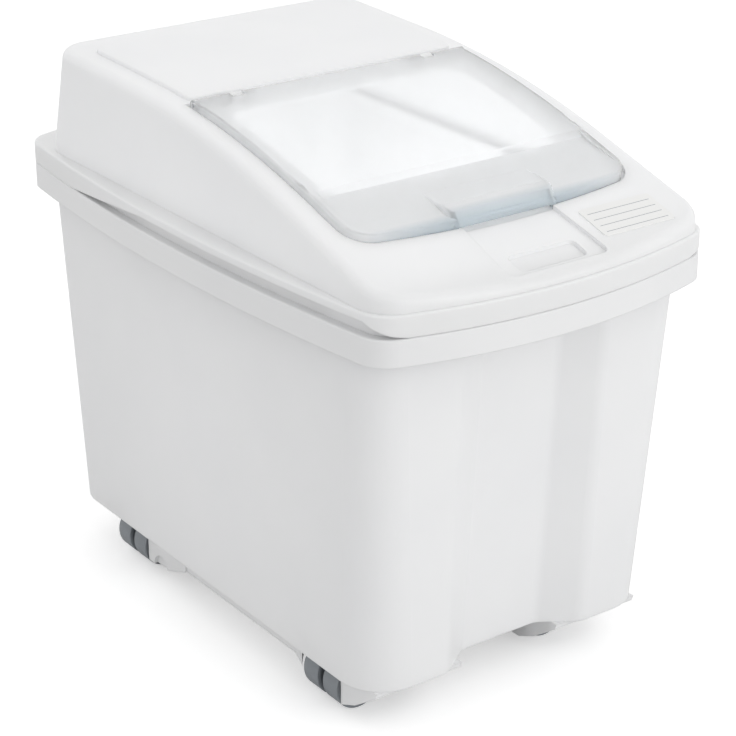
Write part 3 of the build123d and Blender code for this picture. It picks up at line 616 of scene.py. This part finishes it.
class BIN_OT_studio(bpy.types.Operator):
    """Set up the floor, the lights, the room and the camera"""

    bl_idname = "bin.studio"
    bl_label = "Studio"

    def execute(self, context):
        studio = context.scene.bin_studio
        self.make_floor(studio)
        self.make_room(context, studio)
        self.add_light("key_light", KEY_PLACE, KEY_SIZE, studio.key_power)
        self.add_light("top_light", TOP_PLACE, TOP_SIZE, studio.top_power)
        self.add_inside_light(studio.inside_power)
        self.make_camera(context, studio)
        context.scene.view_settings.view_transform = "Standard"
        return {"FINISHED"}

    def make_floor(self, studio):
        deselect_all()
        bpy.ops.mesh.primitive_plane_add(size=FLOOR_SIZE)
        floor = bpy.context.active_object
        floor.name = "studio_floor"
        recipe = Recipe("floor_paper")
        paper = studio.floor_colour
        clouds = recipe.noise(FLOOR_CLOUD_SCALE)
        tone = recipe.blend(clouds, tuple(paper), darker(paper, FLOOR_SHADE))
        recipe.join(tone, recipe.shader.inputs["Base Color"])
        recipe.set(Roughness=FLOOR_ROUGHNESS, Specular_IOR_Level=FLOOR_GLOSS)
        glow = recipe.add("ShaderNodeEmission")
        glow.inputs["Strength"].default_value = studio.floor_lift
        seen = recipe.add("ShaderNodeLightPath").outputs["Is Camera Ray"]
        pick = recipe.add("ShaderNodeMixShader")
        recipe.join(seen, pick.inputs["Fac"])
        recipe.join(glow.outputs["Emission"], pick.inputs[2])
        total = recipe.add("ShaderNodeAddShader")
        recipe.join(recipe.shader.outputs["BSDF"], total.inputs[0])
        recipe.join(pick.outputs["Shader"], total.inputs[1])
        recipe.join(total.outputs["Shader"], recipe.output.inputs["Surface"])
        floor.data.materials.append(recipe.material)

    def make_room(self, context, studio):
        world = bpy.data.worlds.new("studio_room")
        context.scene.world = world
        world.use_nodes = True
        tree = world.node_tree
        tree.nodes.clear()
        output = tree.nodes.new("ShaderNodeOutputWorld")
        light = tree.nodes.new("ShaderNodeBackground")
        light.inputs["Strength"].default_value = studio.room_light
        white = tree.nodes.new("ShaderNodeBackground")
        path = tree.nodes.new("ShaderNodeLightPath")
        pick = tree.nodes.new("ShaderNodeMixShader")

        # plain white wherever the room is seen, mirrored or looked at through the flap
        seen = path.outputs["Is Camera Ray"]
        for ray in ("Is Glossy Ray", "Is Transmission Ray"):
            either = tree.nodes.new("ShaderNodeMath")
            either.operation = "MAXIMUM"
            tree.links.new(seen, either.inputs[0])
            tree.links.new(path.outputs[ray], either.inputs[1])
            seen = either.outputs["Value"]
        tree.links.new(seen, pick.inputs["Fac"])
        tree.links.new(light.outputs["Background"], pick.inputs[1])
        tree.links.new(white.outputs["Background"], pick.inputs[2])
        tree.links.new(pick.outputs["Shader"], output.inputs["Surface"])
        for background in (light, white):
            background.inputs["Color"].default_value = (1.0, 1.0, 1.0, 1.0)

    def add_light(self, name, place, size, power):
        deselect_all()
        bpy.ops.object.light_add(type="AREA", location=place)
        light = bpy.context.active_object
        light.name = name
        light.data.size = size
        light.data.energy = power
        aim = Vector(AIM_POINT) - Vector(place)
        light.rotation_euler = aim.to_track_quat("-Z", "Y").to_euler()

    def add_inside_light(self, power):
        low, high = box_of("tub")
        deselect_all()
        bpy.ops.object.light_add(type="POINT", location=(low + high) / 2)
        light = bpy.context.active_object
        light.name = "inside_light"
        light.data.shadow_soft_size = INSIDE_LIGHT_RADIUS
        light.data.energy = power
        light.visible_camera = False
        light.visible_glossy = False
        light.visible_transmission = False

    def make_camera(self, context, studio):
        deselect_all()
        bpy.ops.object.camera_add(
            location=studio.camera_place,
            rotation=(math.pi / 2 - studio.camera_down, 0.0, studio.camera_turn),
        )
        camera = bpy.context.active_object
        camera.name = "studio_camera"
        camera.data.sensor_width = SENSOR_WIDTH
        camera.data.lens = studio.lens
        context.scene.camera = camera


STEPS = (
    BIN_OT_tub,
    BIN_OT_lid,
    BIN_OT_flap,
    BIN_OT_write_on_plate,
    BIN_OT_casters,
    BIN_OT_wheels,
    BIN_OT_studio,
)


class BIN_PT_panel(bpy.types.Panel):
    """Settings and steps of the ingredient bin"""

    bl_idname = "BIN_PT_panel"
    bl_label = "Ingredient Bin"
    bl_space_type = "VIEW_3D"
    bl_region_type = "UI"
    bl_category = "Bin"

    def draw(self, context):
        for group in (context.scene.bin_plastics, context.scene.bin_wheels, context.scene.bin_studio):
            box = self.layout.box()
            for name in group.bl_rna.properties.keys():
                if name not in ("rna_type", "name"):
                    box.prop(group, name)
        for step in STEPS:
            self.layout.operator(step.bl_idname)


GROUPS = {"bin_plastics": BinPlastics, "bin_wheels": BinWheels, "bin_studio": BinStudio}


def register():
    for name, group in GROUPS.items():
        bpy.utils.register_class(group)
        setattr(bpy.types.Scene, name, PointerProperty(type=group))
    for step in STEPS:
        bpy.utils.register_class(step)
    bpy.utils.register_class(BIN_PT_panel)


def unregister():
    bpy.utils.unregister_class(BIN_PT_panel)
    for step in reversed(STEPS):
        bpy.utils.unregister_class(step)
    for name, group in GROUPS.items():
        delattr(bpy.types.Scene, name)
        bpy.utils.unregister_class(group)


def main():
    register()
    bpy.ops.bin.tub()
    bpy.ops.bin.lid()
    bpy.ops.bin.flap()
    bpy.ops.bin.write_on_plate()
    bpy.ops.bin.casters()
    bpy.ops.bin.wheels()
    bpy.ops.bin.studio()


if __name__ == "__main__":
    main()
